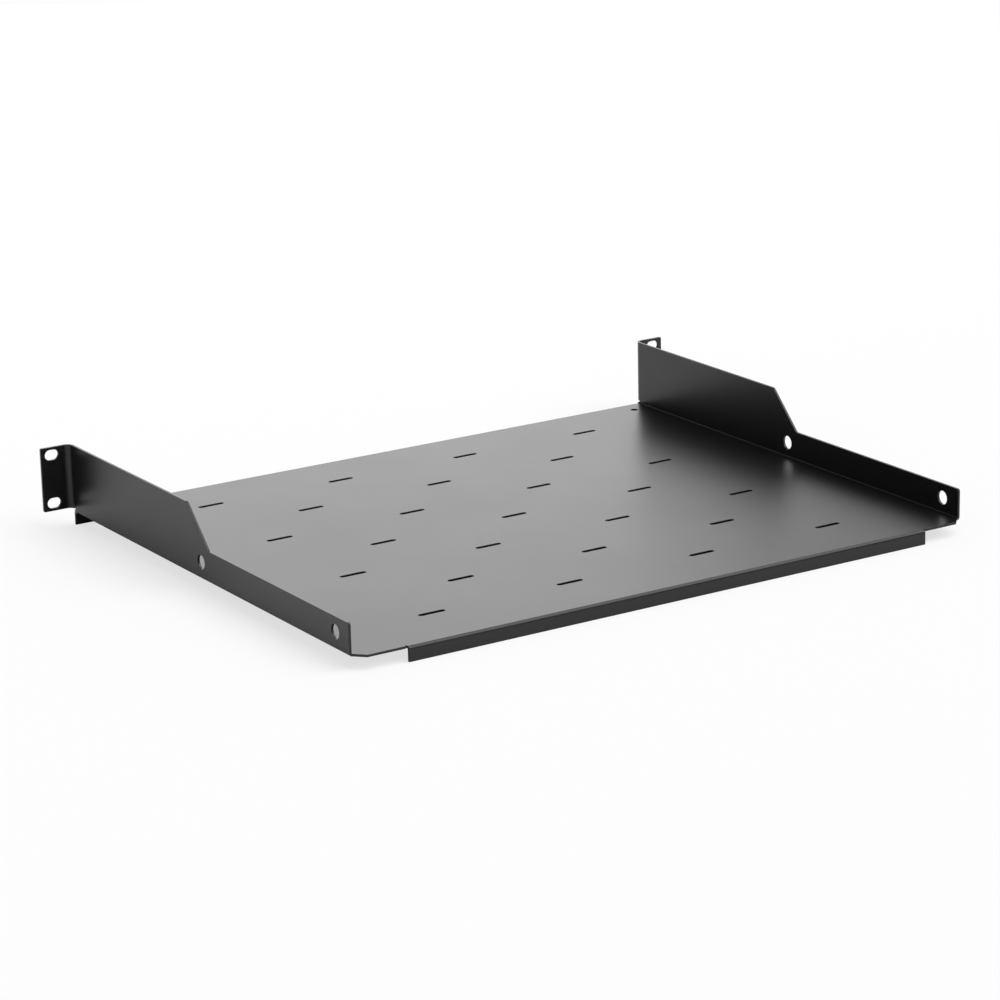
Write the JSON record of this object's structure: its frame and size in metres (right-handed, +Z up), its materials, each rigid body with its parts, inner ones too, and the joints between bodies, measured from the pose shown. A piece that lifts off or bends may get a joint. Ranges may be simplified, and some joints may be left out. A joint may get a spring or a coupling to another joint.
{
  "type": "rack shelf",
  "caption": "Folded sheet-steel cantilever shelf for a 19-inch rack, with front ears, stepped side walls, front and rear lips and a deck of staggered ventilation slots.",
  "frame": {"origin": "middle of the footprint, on the plane of the lips' lower edges, which the shelf stands on when it is put down", "axes": "+Z up, out of the deck; the rack ears face -Y, towards the front of the rack; the deck and side walls run back towards +Y; X runs across the rack"},
  "size_m": [0.4802, 0.3602, 0.0529],
  "materials": {
    "powder_coat": "satin black powder coat"
  },
  "bodies": {
    "root": {"rack_shelf": "powder_coat"}
  },
  "joints": []
}
